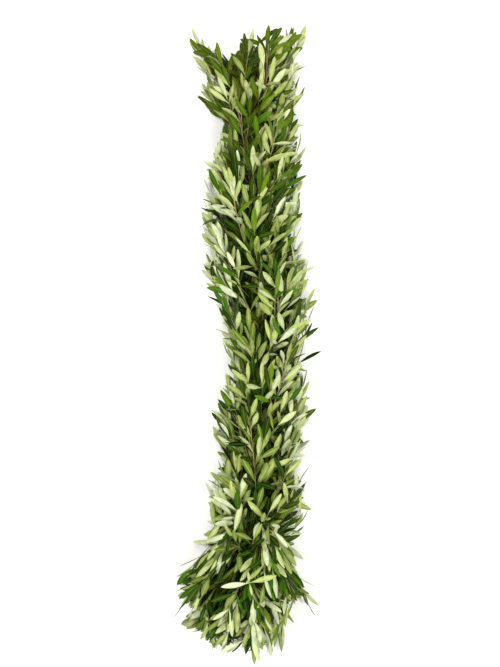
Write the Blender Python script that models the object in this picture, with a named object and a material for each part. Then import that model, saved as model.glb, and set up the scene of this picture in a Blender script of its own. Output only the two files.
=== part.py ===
"""An olive branch garland, 1.83 m long, lying along a table.

Leafy olive sprays are bound with thin wire along a jute rope, three at each tie.
They point to the top end (+Y). Three more at each of a few ties near the foot
point the other way and fan out. The part rests on the plane z = 0, on the leaves
that its weight presses flat. Lengths are in metres, angles in degrees, +Z is up.
"""

import math
import random
from collections import namedtuple

import bmesh
import bpy
from mathutils import Vector
from mathutils.bvhtree import BVHTree

# The rope, which wanders a little to each side: (y, x) where it bends most
ROPE_RADIUS = 0.004
ROPE_FOOT = -0.745
ROPE_TOP = 0.590
ROPE_BENDS = ((-0.80, -0.028), (-0.42, 0.010), (-0.03, 0.028), (0.34, -0.009), (0.66, 0.006))
ROPE_HEIGHT = 0.066
END_DROP = 0.020
DROP_ENDS_AT = 1.1
ROPE_ROUNDNESS = 1
SLOPE_STEP = 0.005
MERGE_WITHIN = 0.00002

# The ties, and the one wire that makes them all
TIES = 16
FIRST_TIE = -0.700
TIE_PITCH = 0.083
TIE_TURN = 45.8
TOP_TIE_AZIMUTH = 90.0
BOUND_LENGTH = 0.064
WIRE_RADIUS = 0.0006
LOOP_POINTS = 6
LOOP_ADVANCE = 0.006

# The sprays' stems
SPRAYS_PER_TIE = 3
FOOT_LENGTHS = {1: 0.203, 2: 0.200, 3: 0.190}
TOP_LENGTH = 0.265
LENGTH_RANGE = (0.90, 1.08)
STEM_RADIUS = 0.0022
STEM_TIP_RADIUS = 0.0019
BOUND_GAP = 0.0004
PAST_NEXT_TIE = 0.008
RISE = 0.078
SAG = 0.050
SIDE_DROOP = 0.018
SWAY = 0.010
OUT_POWER = 1.3
OUT_EARLY = 1.75
LOWEST_STEM = 0.00264
SIDE_FACE_LEAN = 0.3
STEM_TURN = 4
STEM_TRIES = 60

# How far the foliage reaches to each side of the rope: (y, reach)
LEFT_REACH = (
    (-0.88, 0.120), (-0.73, 0.245), (-0.60, 0.150), (-0.46, 0.146), (-0.34, 0.110), (-0.20, 0.140),
    (-0.05, 0.095), (0.20, 0.158), (0.45, 0.150), (0.63, 0.095), (0.73, 0.175), (0.86, 0.230),
)
RIGHT_REACH = (
    (-0.88, 0.120), (-0.72, 0.240), (-0.61, 0.150), (-0.46, 0.160), (-0.34, 0.135), (-0.14, 0.155),
    (-0.05, 0.130), (0.05, 0.165), (0.21, 0.170), (0.29, 0.140), (0.45, 0.165), (0.65, 0.135), (0.86, 0.160),
)
REACH_RANGE = (0.88, 1.05)
LEAF_REACH = 0.045
LEAST_REACH = 0.030

# A leaf: flat above, with a keel along its midrib below. Corners are (along, across, depth)
PAIRS = 4
PAIR_SIZES = (1.02, 1.05, 1.0, 0.92)
TIP_LEAF_SIZE = 0.88
LEAF_LENGTH = 0.080
LEAF_LENGTH_RANGE = (0.84, 1.12)
LEAF_WIDTH = 0.0175
LEAF_WIDTH_RANGE = (0.88, 1.10)
LEAF_KEEL = 0.0016
BLADE_CORNERS = (
    (0.0, 0, 0), (0.0, 0, 0.65), (0.38, -0.97, 0), (0.38, 0.97, 0),
    (0.68, -0.86, 0), (0.68, 0.86, 0), (0.5, 0, 1), (1.0, 0, 0),
)
FOLD_ARCH = 0.4
FOLD_DEPTH = 0.3
ROOT_CORNERS = 2
FIRST_ROW = 0.38
ROOT_PAST_MIDDLE = 0.0002
TIP_LEAF_SUNK = 0.003

# How a leaf stands on its stem, and how much that varies
SPREAD_RANGE = (23, 42)
TIP_SPREAD = 6
SWERVE = 0.25
ROLL = 20
BEND_RANGE = (-8, 22)
PALE_SHARE = 0.65
NATURAL_TURN = 0.35
PRESSED_BELOW = 0.014
STEEPEST = -0.94
CLEARANCE = 0.0003
LEAF_TRIES = 60
TRIES_PER_STRAY = 12
SHORTER_AFTER = 24
SHORTER = 0.84

# Material: colour, roughness, metallic
GREENS = {
    "olive_leaf_pale": ((0.47, 0.53, 0.32), 0.5, 0.0),
    "olive_leaf_green": ((0.25, 0.34, 0.11), 0.5, 0.0),
    "olive_leaf_deep": ((0.10, 0.20, 0.05), 0.5, 0.0),
}
JUTE = ((0.42, 0.31, 0.18), 0.9, 0.0)
GREEN_WIRE = ((0.05, 0.13, 0.06), 0.4, 0.6)

# way is 1 for a spray that points to the top end, -1 for one that points to the foot
Spray = namedtuple("Spray", "number tie way azimuth")
# Where a leaf grows: outward is None for the leaf at a stem's tip
Spot = namedtuple("Spot", "number root along outward size")
Leaf = namedtuple("Leaf", "root heading across facing length width bend pressed")


def clear_scene():
    for obj in list(bpy.data.objects):
        bpy.data.objects.remove(obj, do_unlink=True)


def make_material(name, colour, roughness, metallic):
    material = bpy.data.materials.new(name)
    material.use_nodes = True
    shader = material.node_tree.nodes["Principled BSDF"]
    shader.inputs["Base Color"].default_value = (*colour, 1.0)
    shader.inputs["Roughness"].default_value = roughness
    shader.inputs["Metallic"].default_value = metallic
    return material


def eased(stations, at):
    """The value at one place of a smooth line through (place, value) stations."""
    passed = sum(1 for place, _ in stations if place <= at)
    k = min(max(passed - 1, 0), len(stations) - 2)
    (low, first), (high, second) = stations[k], stations[k + 1]
    share = min(max((at - low) / (high - low), 0.0), 1.0)
    return first + (second - first) * share * share * (3 - 2 * share)


def tie_y(tie):
    return FIRST_TIE + TIE_PITCH * tie


def tie_azimuth(tie):
    """Where the first of a tie's sprays lies round the rope."""
    return TOP_TIE_AZIMUTH + TIE_TURN * (tie - (TIES - 1))


def rope_curve(y):
    height = ROPE_HEIGHT - END_DROP * min(abs(y / FIRST_TIE), DROP_ENDS_AT) ** 4
    return Vector((eased(ROPE_BENDS, y), y, height))


def rope_joints():
    """The rope's ends and the ends of each bound length, where it lies straight along its stems."""
    bound = [tie_y(tie) + end * BOUND_LENGTH / 2 for tie in range(TIES) for end in (-1, 1)]
    return [ROPE_FOOT, *bound, ROPE_TOP]


def rope_point(y):
    joints = rope_joints()
    for low, high in zip(joints, joints[1:]):
        if low <= y <= high:
            return rope_curve(low).lerp(rope_curve(high), (y - low) / (high - low))
    return rope_curve(y)


def around_rope(y, azimuth, radius):
    """A point beside the rope, at an angle from its right-hand side over its top."""
    along = (rope_point(y + SLOPE_STEP) - rope_point(y - SLOPE_STEP)).normalized()
    side = along.cross(Vector((0, 0, 1))).normalized()
    up = side.cross(along)
    angle = math.radians(azimuth)
    return rope_point(y) + (side * math.cos(angle) + up * math.sin(angle)) * radius


def tube(name, points, radius, roundness=0, shares=None, tilt=None):
    """A rope, wire or stem as a curve, turned by a tilt from upright, then made a closed mesh object."""
    curve = bpy.data.curves.new(name, "CURVE")
    curve.dimensions = "3D"
    curve.bevel_depth = radius
    curve.bevel_resolution = roundness
    curve.use_fill_caps = True
    curve.twist_mode = "MINIMUM" if tilt is None else "Z_UP"
    spline = curve.splines.new("POLY")
    spline.points.add(len(points) - 1)
    for i, point in enumerate(points):
        spline.points[i].co = (*point, 1.0)
        spline.points[i].radius = shares[i] if shares else 1.0
        spline.points[i].tilt = tilt or 0.0
    guide = bpy.data.objects.new(name + "_guide", curve)
    bpy.context.scene.collection.objects.link(guide)
    graph = bpy.context.evaluated_depsgraph_get()
    mesh = bpy.data.meshes.new_from_object(guide.evaluated_get(graph))
    bpy.data.objects.remove(guide)
    work = bmesh.new()
    work.from_mesh(mesh)
    bmesh.ops.remove_doubles(work, verts=work.verts, dist=MERGE_WITHIN)
    bmesh.ops.recalc_face_normals(work, faces=work.faces)
    bmesh.ops.triangulate(work, faces=work.faces)
    work.to_mesh(mesh)
    work.free()
    mesh.name = name
    return bpy.data.objects.new(name, mesh)


def make_rope():
    return tube("core_rope", [rope_point(y) for y in rope_joints()], ROPE_RADIUS, ROPE_ROUNDNESS)


def make_wire():
    """One wire: a loop round the stems at each tie, and a straight run on to the next."""
    widest = ROPE_RADIUS + BOUND_GAP + 2 * STEM_RADIUS + BOUND_GAP + WIRE_RADIUS
    loop = 360 + TIE_TURN
    radius = widest / math.cos(math.radians(loop / LOOP_POINTS / 2))
    points = []
    for tie in range(TIES):
        between_sprays = tie_azimuth(tie - 1) + 180 / SPRAYS_PER_TIE
        for i in range(LOOP_POINTS + 1):
            share = i / LOOP_POINTS
            y = tie_y(tie) + LOOP_ADVANCE * (share - 0.5)
            points.append(around_rope(y, between_sprays + loop * share, radius))
    return tube("binding_wire", points, WIRE_RADIUS)


def spray_plan():
    """Every spray, tie by tie: those to the top, and between them those to the foot."""
    plan = []
    for tie in range(TIES):
        for turn in range(SPRAYS_PER_TIE):
            azimuth = tie_azimuth(tie) + 360 / SPRAYS_PER_TIE * turn
            plan.append(Spray(len(plan) + 1, tie, 1, azimuth))
            if tie in FOOT_LENGTHS:
                plan.append(Spray(len(plan) + 1, tie, -1, azimuth + 180 / SPRAYS_PER_TIE))
    return plan


def stem_points(spray, attempt):
    """Its place round the rope, and its joints: two where it is bound, then the end of each leafy length."""
    draw = random.Random(f"stem {spray.number} {attempt}")
    azimuth = spray.azimuth + draw.uniform(-1, 1) * (STEM_TURN + attempt)
    ahead = (TOP_LENGTH if spray.way > 0 else FOOT_LENGTHS[spray.tie]) * draw.uniform(*LENGTH_RANGE)
    start = tie_y(spray.tie) - spray.way * BOUND_LENGTH / 2
    leave = tie_y(spray.tie) + spray.way * BOUND_LENGTH / 2
    right, up = math.cos(math.radians(azimuth)), math.sin(math.radians(azimuth))
    outline = RIGHT_REACH if right > 0 else LEFT_REACH
    reach = max(eased(outline, leave + spray.way * ahead) - LEAF_REACH, LEAST_REACH)
    sideways = reach * math.copysign(math.sqrt(abs(right)), right) * draw.uniform(*REACH_RANGE)
    rise = (RISE if up > 0 else SAG) * up - SIDE_DROOP * abs(right)
    sway = draw.uniform(-SWAY, SWAY)
    beside = ROPE_RADIUS + BOUND_GAP + STEM_RADIUS
    points = [around_rope(start, azimuth, beside), around_rope(leave, azimuth, beside)]
    for joint in range(1, PAIRS + 1):
        share = joint / PAIRS
        out = share**OUT_POWER * (OUT_EARLY + (1 - OUT_EARLY) * share)
        place = around_rope(leave + spray.way * ahead * share, azimuth, beside + PAST_NEXT_TIE)
        place.x += sideways * out + sway * math.sin(math.pi * share)
        place.z = max(place.z + rise * out, LOWEST_STEM)
        points.append(place)
    return azimuth, points


def stem_shares():
    """Shares of the stem's radius: even where it is bound, then tapering to the tip."""
    tip = STEM_TIP_RADIUS / STEM_RADIUS
    return [1.0, 1.0] + [1 + (tip - 1) * joint / PAIRS for joint in range(1, PAIRS + 1)]


def flat_side(stem, start, end, wished):
    """The outward direction of the stem's side, between two joints, that best faces a wished way."""
    along = end - start
    sides = []
    for face in stem.data.polygons:
        between = 0 < (face.center - start).dot(along) < along.dot(along)
        if between and abs(face.normal.dot(along)) < SIDE_FACE_LEAN * along.length:
            sides.append(face.normal)
    return max(sides, key=wished.dot).copy()


def leaf_spots(points, stem):
    """Opposite pairs, each turned from the last, amid the stem's lengths, and one leaf at its tip."""
    spots = []
    turned = Vector((0, 0, 1))
    for pair in range(PAIRS):
        start, end = points[pair + 1], points[pair + 2]
        along = (end - start).normalized()
        turned = flat_side(stem, start, end, along.cross(turned).normalized())
        for outward in (turned, -turned):
            root = (start + end) / 2 - outward * ROOT_PAST_MIDDLE
            spots.append(Spot(len(spots), root, along, outward, PAIR_SIZES[pair]))
    along = (points[-1] - points[-2]).normalized()
    spots.append(Spot(len(spots), points[-1] - along * TIP_LEAF_SUNK, along, None, TIP_LEAF_SIZE))
    return spots


def posed_leaf(number, spot, attempt):
    """How one leaf leaves its stem. Later attempts stray further from the first."""
    draw = random.Random(f"leaf {number} {spot.number} {attempt}")
    stray = 1 + attempt / TRIES_PER_STRAY
    low, high = SPREAD_RANGE if spot.outward else (0, TIP_SPREAD)
    spread = math.radians((low + high) / 2 + draw.uniform(low - high, high - low) / 2 * stray)
    side = spot.outward or spot.along.orthogonal().normalized()
    side = side + spot.along.cross(side) * draw.uniform(-SWERVE, SWERVE) * stray
    side = (side - spot.along * side.dot(spot.along)).normalized()
    heading = spot.along * math.cos(spread) + side * math.sin(spread)
    length = LEAF_LENGTH * spot.size * draw.uniform(*LEAF_LENGTH_RANGE)
    length *= SHORTER if attempt > SHORTER_AFTER else 1.0
    width = LEAF_WIDTH * spot.size * draw.uniform(*LEAF_WIDTH_RANGE)
    pale_side_out = draw.random() < PALE_SHARE
    roll = math.radians(draw.uniform(-ROLL, ROLL) * stray)
    bend = math.radians(draw.uniform(*BEND_RANGE))

    reach_down = length * (FIRST_ROW if spot.root.z < PRESSED_BELOW else 1.0)
    steepest = max(STEEPEST, -spot.root.z / reach_down)
    pressed = heading.z < steepest
    if pressed:
        level = Vector((heading.x, heading.y, 0)).normalized()
        heading = level * math.sqrt(1 - steepest**2) + Vector((0, 0, steepest))
        across = heading.cross(Vector((0, 0, -1))).normalized()
        bend = 0.0
    else:
        inward = (rope_point(spot.root.y) - spot.root).normalized()
        natural = spot.along * math.sin(spread) - side * math.cos(spread)
        upper_side = natural * NATURAL_TURN + (inward if pale_side_out else -inward)
        across = heading.cross(upper_side).normalized()
        across = across * math.cos(roll) + heading.cross(across) * math.sin(roll)
    return Leaf(spot.root, heading, across, across.cross(heading), length, width, bend, pressed)


def blade_template():
    """A leaf's faces: the skin round its corners, arched a little so that the upper face folds across."""
    work = bmesh.new()
    for along, across, depth in BLADE_CORNERS:
        work.verts.new((across, along, FOLD_ARCH * along * (1 - along) - FOLD_DEPTH * depth))
    bmesh.ops.convex_hull(work, input=work.verts)
    bmesh.ops.triangulate(work, faces=work.faces)
    bmesh.ops.recalc_face_normals(work, faces=work.faces)
    mesh = bpy.data.meshes.new("blade")
    work.to_mesh(mesh)
    work.free()
    return mesh


def blade_points(leaf, widen=0.0, lift=0.0):
    """Where the blade's corners come on one leaf, or on a larger or shifted one to test its room."""
    points = []
    for along, across, depth in BLADE_CORNERS:
        angle = leaf.bend * along
        chord = leaf.heading * math.cos(angle / 2) - leaf.facing * math.sin(angle / 2)
        normal = leaf.facing * math.cos(angle) + leaf.heading * math.sin(angle)
        point = leaf.root + chord * (leaf.length * along + widen * (along == 1.0))
        if leaf.pressed:
            point.z = max(point.z, 0.0)
        point += leaf.across * across * (leaf.width / 2 + widen) + normal * (lift - depth * LEAF_KEEL)
        if leaf.pressed:
            point.z = max(point.z, 0.0)
        points.append(point)
    return points


def points_of(mesh):
    return [vertex.co.copy() for vertex in mesh.vertices]


def faces_of(mesh):
    return [tuple(face.vertices) for face in mesh.polygons]


class Standing:
    """What already stands, to keep the next piece clear of it."""

    def __init__(self, pieces):
        self.points = []
        self.faces = []
        self.tree = None
        for piece in pieces:
            self.add(points_of(piece.data), faces_of(piece.data))

    def add(self, points, faces):
        first = len(self.points)
        self.points.extend(points)
        self.faces.extend(tuple(first + i for i in face) for face in faces)
        self.tree = None

    def meets(self, points, faces):
        if not self.tree:
            self.tree = BVHTree.FromPolygons(self.points, self.faces)
        return bool(self.tree.overlap(BVHTree.FromPolygons(points, faces)))


def grow_stem(spray, standing):
    """The spray's joints and stem, at the first attempt that clears what stands."""
    name = f"spray_{spray.number:02d}"
    for attempt in range(STEM_TRIES):
        azimuth, points = stem_points(spray, attempt)
        edge_to_rope = -spray.way * math.radians(azimuth)
        trial = tube("trial", points, STEM_RADIUS + CLEARANCE, 0, stem_shares(), edge_to_rope)
        crossed = standing.meets(points_of(trial.data), faces_of(trial.data))
        bpy.data.objects.remove(trial)
        if not crossed:
            return points, tube(name, points, STEM_RADIUS, 0, stem_shares(), edge_to_rope)
    raise RuntimeError(name + " finds no clear way")


def grow_leaves(spray, points, stem, template, standing):
    """Leaves that clear each other, their own stem further on, and every other piece."""
    leaves = []
    own = Standing([stem])
    faces = faces_of(template)
    outer = [face for face in faces if min(face) >= ROOT_CORNERS]
    for spot in leaf_spots(points, stem):
        for attempt in range(LEAF_TRIES):
            leaf = posed_leaf(spray.number, spot, attempt)
            placed = blade_points(leaf)
            if min(point.z for point in placed) < 0:
                continue
            trials = [blade_points(leaf, CLEARANCE, lift) for lift in (-CLEARANCE, 0, CLEARANCE)]
            if any(standing.meets(trial, faces) or own.meets(trial, outer) for trial in trials):
                continue
            own.add(placed, outer)
            mesh = template.copy()
            for vertex, point in zip(mesh.vertices, placed):
                vertex.co = point
            leaves.append(bpy.data.objects.new("leaf", mesh))
            break
    return leaves


def fuse(stem, leaves):
    """One body of the stem and its leaves, whose roots are sunk in it."""
    holder = bpy.data.collections.new("leaves_of_" + stem.name)
    bpy.context.scene.collection.children.link(holder)
    for leaf in leaves:
        holder.objects.link(leaf)
    union = stem.modifiers.new("join", "BOOLEAN")
    union.operand_type = "COLLECTION"
    union.operation = "UNION"
    union.solver = "EXACT"
    union.collection = holder
    graph = bpy.context.evaluated_depsgraph_get()
    joined = bpy.data.meshes.new_from_object(stem.evaluated_get(graph))
    stem.modifiers.clear()
    stem.data = joined
    joined.name = stem.name
    for leaf in leaves:
        bpy.data.objects.remove(leaf)
    bpy.data.collections.remove(holder)


def finish_piece(piece, material):
    piece.data.materials.clear()
    piece.data.materials.append(material)


def place_on_table(pieces, carrier):
    """Parents the pieces to an empty that sets the origin under the middle of their box."""
    corners = [vertex.co for piece in pieces for vertex in piece.data.vertices]
    lows = [min(corner[k] for corner in corners) for k in range(3)]
    highs = [max(corner[k] for corner in corners) for k in range(3)]
    carrier.location = (-(lows[0] + highs[0]) / 2, -(lows[1] + highs[1]) / 2, -lows[2])
    for piece in pieces:
        piece.parent = carrier


def main():
    clear_scene()
    garland = bpy.data.collections.new("olive_branch_garland")
    bpy.context.scene.collection.children.link(garland)
    greens = [make_material(name, *look) for name, look in GREENS.items()]

    rope, wire = make_rope(), make_wire()
    finish_piece(rope, make_material("jute", *JUTE))
    finish_piece(wire, make_material("green_wire", *GREEN_WIRE))
    pieces = [rope, wire]
    grown = []
    for spray in spray_plan():
        points, stem = grow_stem(spray, Standing(pieces))
        finish_piece(stem, greens[spray.number % len(greens)])
        grown.append((spray, points, stem))
        pieces.append(stem)

    for piece in pieces:
        garland.objects.link(piece)
    template = blade_template()
    for spray, points, stem in grown:
        others = Standing(piece for piece in pieces if piece is not stem)
        fuse(stem, grow_leaves(spray, points, stem, template, others))
    carrier = bpy.data.objects.new("garland_origin", None)
    garland.objects.link(carrier)
    place_on_table(pieces, carrier)


main()
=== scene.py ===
"""Olive branch garland: how each of its pieces looks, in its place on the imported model.

Lengths are in metres and angles in degrees. The garland lies along +Y on the floor, z = 0.
"""

import math
import random
from collections import defaultdict, namedtuple
from itertools import product

import bmesh
import bpy
import numpy as np
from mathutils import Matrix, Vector, bvhtree, kdtree


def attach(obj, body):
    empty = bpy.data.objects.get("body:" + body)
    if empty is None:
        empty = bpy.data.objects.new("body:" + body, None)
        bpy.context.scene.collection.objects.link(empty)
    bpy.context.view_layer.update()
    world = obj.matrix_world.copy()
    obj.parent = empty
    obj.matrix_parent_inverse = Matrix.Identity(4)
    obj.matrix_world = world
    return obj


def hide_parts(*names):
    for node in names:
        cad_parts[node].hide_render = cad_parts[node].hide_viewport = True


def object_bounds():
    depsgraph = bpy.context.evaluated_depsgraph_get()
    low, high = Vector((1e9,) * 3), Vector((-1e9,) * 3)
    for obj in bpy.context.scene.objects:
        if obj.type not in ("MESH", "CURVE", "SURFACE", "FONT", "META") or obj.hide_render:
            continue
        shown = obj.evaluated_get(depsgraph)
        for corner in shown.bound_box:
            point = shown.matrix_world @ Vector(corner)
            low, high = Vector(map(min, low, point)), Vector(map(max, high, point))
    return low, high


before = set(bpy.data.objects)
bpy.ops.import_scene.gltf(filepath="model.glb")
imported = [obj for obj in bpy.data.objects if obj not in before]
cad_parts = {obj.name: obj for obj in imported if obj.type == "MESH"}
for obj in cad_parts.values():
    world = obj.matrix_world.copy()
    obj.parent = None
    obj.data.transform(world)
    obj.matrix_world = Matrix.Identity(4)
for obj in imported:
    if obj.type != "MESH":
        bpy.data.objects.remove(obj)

cad_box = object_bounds()


# The core rope is jute, three strands twisted together to about 8 mm. It runs down the middle of
# the garland, straight where stems are bound to it and bending a little between them.
ROPE_RADIUS = 0.004
ROPE_FOOT = -0.745
ROPE_TOP = 0.590
ROPE_BENDS = ((-0.80, -0.028), (-0.42, 0.010), (-0.03, 0.028), (0.34, -0.009), (0.66, 0.006))
ROPE_HEIGHT = 0.066
END_DROP = 0.020
DROP_ENDS_AT = 1.1
SLOPE_STEP = 0.005
TIES = 16
FIRST_TIE = -0.700
TIE_PITCH = 0.083
TIE_TURN = 45.8
TOP_TIE_AZIMUTH = 90.0
BOUND_LENGTH = 0.064
STRANDS = 3
STRAND_RADIUS = 0.0020
STRAND_OFFSET = 0.0020
TWIST_PITCH = 0.026
STRAND_STEP = 0.0022
MERGE_WITHIN = 0.00002


def clamped(value):
    return min(max(value, 0.0), 1.0)


def eased(stations, at):
    """The value at one place of a smooth line through (place, value) stations."""
    passed = sum(1 for place, _ in stations if place <= at)
    k = min(max(passed - 1, 0), len(stations) - 2)
    (low, first), (high, second) = stations[k], stations[k + 1]
    share = clamped((at - low) / (high - low))
    return first + (second - first) * share * share * (3 - 2 * share)


def tie_y(tie):
    return FIRST_TIE + TIE_PITCH * tie


def tie_azimuth(tie):
    return TOP_TIE_AZIMUTH + TIE_TURN * (tie - (TIES - 1))


def rope_curve(y):
    height = ROPE_HEIGHT - END_DROP * min(abs(y / FIRST_TIE), DROP_ENDS_AT) ** 4
    return Vector((eased(ROPE_BENDS, y), y, height))


rope_joints = [ROPE_FOOT]
for tie in range(TIES):
    rope_joints += [tie_y(tie) - BOUND_LENGTH / 2, tie_y(tie) + BOUND_LENGTH / 2]
rope_joints.append(ROPE_TOP)


def rope_point(y):
    for low, high in zip(rope_joints, rope_joints[1:]):
        if low <= y <= high:
            return rope_curve(low).lerp(rope_curve(high), (y - low) / (high - low))
    return rope_curve(y)


def swung(first, second, angle):
    """The way that lies at an angle from the first of two ways, towards the second."""
    return first * math.cos(angle) + second * math.sin(angle)


def around_rope(y, azimuth, radius):
    """A point beside the rope, at an angle from its right-hand side over its top."""
    along = (rope_point(y + SLOPE_STEP) - rope_point(y - SLOPE_STEP)).normalized()
    side = along.cross(Vector((0, 0, 1))).normalized()
    return rope_point(y) + swung(side, side.cross(along), math.radians(azimuth)) * radius


def corners_of(node):
    """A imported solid's corners, each once, to the micrometre."""
    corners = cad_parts[node].data.vertices
    return sorted({tuple(round(c, 6) for c in corner.co) for corner in corners})


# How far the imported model's frame lies from these measures: its rope's foot gives it
rope_corners = corners_of("core_rope")
foot_y = min(corner[1] for corner in rope_corners)
foot_ring = [Vector(corner) for corner in rope_corners if corner[1] < foot_y + SLOPE_STEP]
in_frame = sum(foot_ring, Vector()) / len(foot_ring) - rope_point(ROPE_FOOT)


def new_object(name, data):
    made = bpy.data.objects.new(name, data)
    bpy.context.scene.collection.objects.link(made)
    return made


def tube(points, radius, roundness=0, shares=None, tilt=None):
    """A mesh round a line of points, made from a curve with a bevel and filled ends."""
    curve = bpy.data.curves.new("line", "CURVE")
    curve.dimensions = "3D"
    curve.bevel_depth = radius
    curve.bevel_resolution = roundness
    curve.use_fill_caps = True
    curve.twist_mode = "MINIMUM" if tilt is None else "Z_UP"
    spline = curve.splines.new("POLY")
    spline.points.add(len(points) - 1)
    for i, joint in enumerate(spline.points):
        joint.co = (*points[i], 1.0)
        joint.radius = shares[i] if shares else 1.0
        joint.tilt = tilt or 0.0
    guide = new_object("line", curve)
    graph = bpy.context.evaluated_depsgraph_get()
    mesh = bpy.data.meshes.new_from_object(guide.evaluated_get(graph))
    bpy.data.objects.remove(guide)
    bpy.data.curves.remove(curve)
    work = bmesh.new()
    work.from_mesh(mesh)
    bmesh.ops.remove_doubles(work, verts=work.verts, dist=MERGE_WITHIN)
    bmesh.ops.recalc_face_normals(work, faces=work.faces)
    if tilt is not None:
        bmesh.ops.triangulate(work, faces=work.faces)
    work.to_mesh(mesh)
    work.free()
    return mesh


def as_piece(name, meshes, materials, nodes, record_slot):
    """One smooth-shaded piece of several meshes, placed in the frame and standing for its nodes."""
    work = bmesh.new()
    for mesh in meshes:
        work.from_mesh(mesh)
        bpy.data.meshes.remove(mesh)
    bmesh.ops.translate(work, verts=work.verts, vec=in_frame)
    whole = bpy.data.meshes.new(name)
    work.to_mesh(whole)
    work.free()
    whole.shade_smooth()
    piece = new_object(name, whole)
    for material in materials:
        whole.materials.append(material)
    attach(piece, "root")
    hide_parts(*nodes)


def new_material(name, roughness, metallic=0.0):
    material = bpy.data.materials.new(name)
    material.use_nodes = True
    shader = material.node_tree.nodes["Principled BSDF"]
    shader.inputs["Roughness"].default_value = roughness
    shader.inputs["Metallic"].default_value = metallic
    return material, material.node_tree, shader


def new_node(tree, kind, inputs=None, **settings):
    """A shader node. An input is a number, a colour, or the output that feeds it."""
    node = tree.nodes.new("ShaderNode" + kind)
    for name, value in settings.items():
        setattr(node, name, value)
    for key, value in (inputs or {}).items():
        if isinstance(value, bpy.types.NodeSocket):
            tree.links.new(value, node.inputs[key])
        else:
            node.inputs[key].default_value = (*value, 1.0) if isinstance(value, tuple) else value
    return node


def noise(tree, scale, detail):
    """Cloudy noise that is fixed in the piece."""
    place = new_node(tree, "TexCoord").outputs["Object"]
    inputs = {"Vector": place, "Scale": scale, "Detail": detail}
    return new_node(tree, "TexNoise", inputs).outputs["Fac"]


def mixed(tree, share, first, second, blend="MIX"):
    """The colour between two colours, or one blended over the other."""
    node = new_node(tree, "Mix", {0: share, 6: first, 7: second}, data_type="RGBA",
                    blend_type=blend, clamp_factor=True)
    return node.outputs[2]


def surface(tree, shader, colour, height, strength, depth):
    """Gives a finish its colour and its fine relief."""
    tree.links.new(colour, shader.inputs["Base Color"])
    bump = new_node(tree, "Bump", {"Height": height, "Strength": strength, "Distance": depth})
    tree.links.new(bump.outputs["Normal"], shader.inputs["Normal"])


jute, tree, shader = new_material("jute_twine", 0.92)
fibres = noise(tree, 1500.0, 2.0)
straw = mixed(tree, noise(tree, 260.0, 3.0), (0.24, 0.16, 0.08), (0.50, 0.38, 0.22))
surface(tree, shader, mixed(tree, fibres, straw, (0.62, 0.50, 0.32)), fibres, 0.6, 0.0006)

strands = []
strand_steps = round((ROPE_TOP - ROPE_FOOT) / STRAND_STEP)
for strand in range(STRANDS):
    line = []
    for step in range(strand_steps + 1):
        y = ROPE_FOOT + (ROPE_TOP - ROPE_FOOT) * step / strand_steps
        line.append(around_rope(y, 360 * (y / TWIST_PITCH + strand / STRANDS), STRAND_OFFSET))
    strands.append(tube(line, STRAND_RADIUS, 1))
as_piece("core_rope_strands", strands, [jute], ["core_rope"], "jute")


# The binding wire is one length of green lacquered wire, 1.2 mm thick. It goes once round the
# stems at each tie and on along the rope to the next, and holds every spray to the rope.
STEM_RADIUS = 0.0022
BOUND_GAP = 0.0004
WIRE_RADIUS = 0.0006
SPRAYS_PER_TIE = 3
LOOP_ADVANCE = 0.006
WIRE_POINTS = 20
MOST_WORN = 0.6


def counted(tree, operation, first, second=0.0):
    return new_node(tree, "Math", {0: first, 1: second}, operation=operation).outputs[0]


lacquer, tree, shader = new_material("green_wire_lacquer", 0.38, 0.55)
scuffs = noise(tree, 420.0, 4.0)
worn = counted(tree, "SMOOTH_MIN", counted(tree, "MULTIPLY", scuffs, scuffs), MOST_WORN)
green = mixed(tree, worn, (0.03, 0.10, 0.04), (0.12, 0.20, 0.11))
tree.links.new(green, shader.inputs["Base Color"])

wire_line = []
round_stems = ROPE_RADIUS + BOUND_GAP + 2 * STEM_RADIUS + BOUND_GAP + WIRE_RADIUS
for tie in range(TIES):
    between_sprays = tie_azimuth(tie - 1) + 180 / SPRAYS_PER_TIE
    for step in range(WIRE_POINTS + 1):
        share = step / WIRE_POINTS
        y = tie_y(tie) + LOOP_ADVANCE * (share - 0.5)
        wire_line.append(around_rope(y, between_sprays + (360 + TIE_TURN) * share, round_stems))
wire = tube(wire_line, WIRE_RADIUS, 1)
as_piece("binding_wire_loops", [wire], [lacquer], ["binding_wire"], "green_wire")


# The sprays are cut olive twigs, 57 of them, bound at their thick ends: three at each tie point to
# the top end, and three more at each of three ties near the foot point the other way. Here is how
# each one's stem leaves the rope.
FOOT_LENGTHS = {1: 0.203, 2: 0.200, 3: 0.190}
TOP_LENGTH = 0.265
LENGTH_RANGE = (0.90, 1.08)
STEM_TIP_RADIUS = 0.0019
PAST_NEXT_TIE = 0.008
RISE = 0.078
SAG = 0.050
SIDE_DROOP = 0.018
SWAY = 0.010
OUT_POWER = 1.3
OUT_EARLY = 1.75
LOWEST_STEM = 0.00264
SIDE_FACE_LEAN = 0.3
STEM_TURN = 4
STEM_TRIES = 60
LEFT_REACH = (
    (-0.88, 0.12), (-0.73, 0.245), (-0.6, 0.15), (-0.46, 0.146), (-0.34, 0.11), (-0.2, 0.14),
    (-0.05, 0.095), (0.2, 0.158), (0.45, 0.15), (0.63, 0.095), (0.73, 0.175), (0.86, 0.23),
)
RIGHT_REACH = (
    (-0.88, 0.12), (-0.72, 0.24), (-0.61, 0.15), (-0.46, 0.16), (-0.34, 0.135), (-0.14, 0.155),
    (-0.05, 0.13), (0.05, 0.165), (0.21, 0.17), (0.29, 0.14), (0.45, 0.165), (0.65, 0.135),
    (0.86, 0.16),
)
REACH_RANGE = (0.88, 1.05)
LEAF_REACH = 0.045
LEAST_REACH = 0.030
PAIRS = 4
SAME_PLACE = 0.00004
MOST_CORNERS = 0.7

# way is 1 for a spray that points to the top end, -1 for one that points to the foot
Spray = namedtuple("Spray", "number tie way azimuth")


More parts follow.
